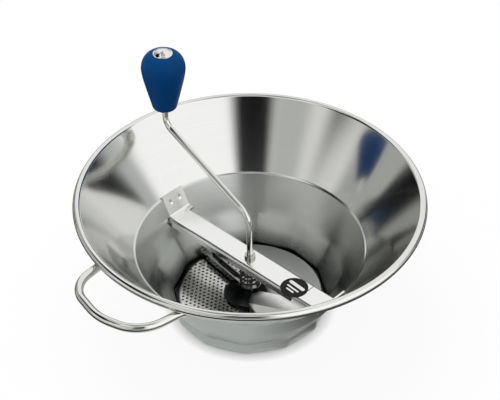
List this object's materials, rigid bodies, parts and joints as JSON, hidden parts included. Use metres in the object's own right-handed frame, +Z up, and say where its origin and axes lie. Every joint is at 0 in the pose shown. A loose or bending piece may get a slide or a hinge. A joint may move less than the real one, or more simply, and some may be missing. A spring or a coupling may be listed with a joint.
{
  "type": "hand food mill",
  "caption": "Hand food mill: conical steel bowl with a loop handle, raised sieve, locking crossbar, sprung pressing blade and scraper on a bent crank with a turning knob",
  "frame": {"origin": "centre of the foot's underside, on the axis of the bowl and the crank's shaft", "axes": "+Z up along the shaft, X along the crossbar with its round label towards +X, loop handle towards -Y"},
  "size_m": [0.31, 0.3485, 0.2155],
  "materials": {
    "bowl_steel": "satin-polished stainless steel sheet",
    "handle_steel": "polished stainless steel rod",
    "sieve_steel": "polished perforated stainless steel sheet",
    "bar_steel": "polished folded stainless steel sheet",
    "impeller_steel": "satin stainless steel sheet and turned parts",
    "spring_steel": "dark drawn spring wire",
    "label": "satin black printed film",
    "knob_blue": "smooth blue moulded plastic",
    "cap_chrome": "bright plated cap"
  },
  "bodies": {
    "bowl": {"bowl": "bowl_steel", "loop_handle": "handle_steel", "bracket_left": "bar_steel", "bracket_right": "bar_steel", "sieve_plate": "sieve_steel", "sieve_skirt": "sieve_steel", "sieve_eyelet": "sieve_steel"},
    "crossbar": {"crossbar": "bar_steel", "crossbar_bush": "impeller_steel", "round_label": "label", "spring_washer": "impeller_steel", "spring": "spring_steel"},
    "spring_seat": {"spring_cup": "impeller_steel"},
    "crank": {"crank_rod": "handle_steel", "crank_collar": "impeller_steel", "impeller_hub": "impeller_steel", "drive_pin": "impeller_steel", "pressing_blade": "impeller_steel", "scraper_arm": "impeller_steel", "scraper_tip": "impeller_steel", "arm_rivets": "impeller_steel", "hub_clip": "spring_steel", "knob_stop_ring": "impeller_steel", "knob_push_nut": "spring_steel"},
    "knob": {"knob": "knob_blue", "knob_cap": "cap_chrome"}
  },
  "joints": [
    {"name": "bridge_turn", "type": "hinge", "parent": "bowl", "child": "crossbar", "pos_m": [0, 0, 0.05], "axis": [0, 0, 1], "range_deg": [0, 25]},
    {"name": "impeller_float", "type": "slide", "parent": "crossbar", "child": "spring_seat", "axis": [0, 0, 1], "range_m": [0, 0.003], "stiffness_N_per_m": 800, "springref_m": -0.004, "deforming": ["spring"]},
    {"name": "crank_turn", "type": "hinge", "parent": "spring_seat", "child": "crank", "pos_m": [0, 0, 0.05], "axis": [0, 0, 1], "continuous": true},
    {"name": "knob_spin", "type": "hinge", "parent": "crank", "child": "knob", "pos_m": [-0.12007, 0.01496, 0.18], "axis": [0, 0, 1], "continuous": true}
  ]
}
